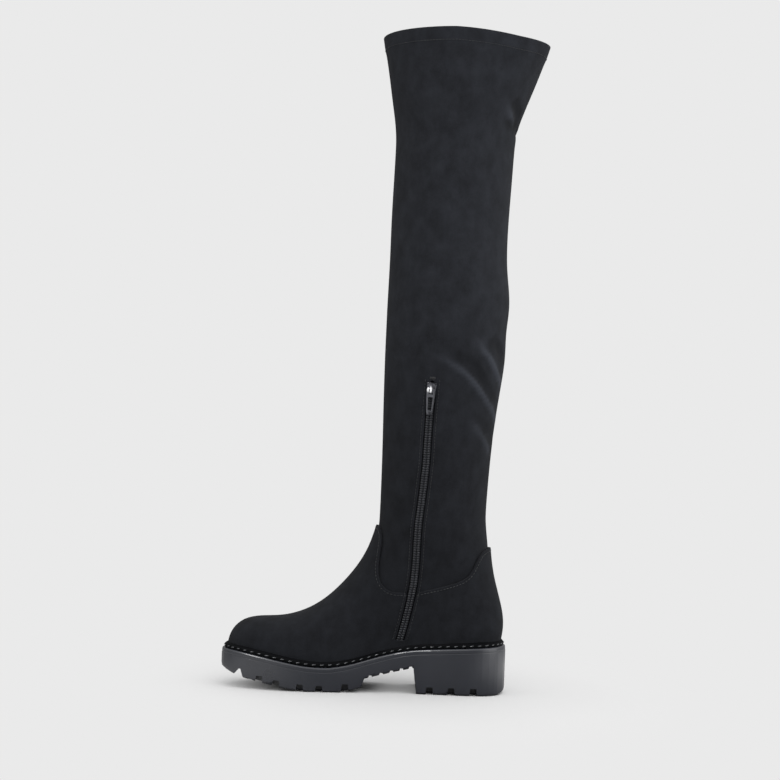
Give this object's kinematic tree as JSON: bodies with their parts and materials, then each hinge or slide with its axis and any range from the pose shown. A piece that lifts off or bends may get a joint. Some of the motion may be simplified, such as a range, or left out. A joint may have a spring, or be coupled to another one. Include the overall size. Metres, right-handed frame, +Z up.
{
  "type": "flat over-the-knee boot",
  "caption": "Black faux-suede over-the-knee flat boot with a stretch shaft, a zip on its inner side, a stitched welt and a chunky lugged rubber sole.",
  "frame": {"origin": "on the floor under the middle of the boot's box", "axes": "-X towards the toe, -Y towards the zip on the inner side of the leg, +Z up the shaft"},
  "size_m": [0.2922, 0.1253, 0.6207],
  "materials": {
    "moulded_rubber": "satin moulded",
    "welt_rubber": "satin moulded",
    "insole_textile": "matte",
    "foot_suede": "napped faux suede",
    "shaft_suede": "napped stretch faux suede",
    "zip_tape": "woven tape with nylon coil",
    "slider_nickel": "dark nickel",
    "pull_nickel": "dark nickel"
  },
  "bodies": {
    "boot": {"outsole": "moulded_rubber", "welt": "welt_rubber", "insole": "insole_textile", "upper": "foot_suede", "shaft": "shaft_suede", "zip_chain": "zip_tape", "zip_slider": "slider_nickel"},
    "pull_tab": {"zip_pull": "pull_nickel"}
  },
  "joints": [
    {"name": "pull_swing", "type": "hinge", "parent": "boot", "child": "pull_tab", "pos_m": [0.04323, -0.0547, 0.28719], "axis": [-0.9863, 0.1505, 0.0678], "range_deg": [0, 165]}
  ]
}
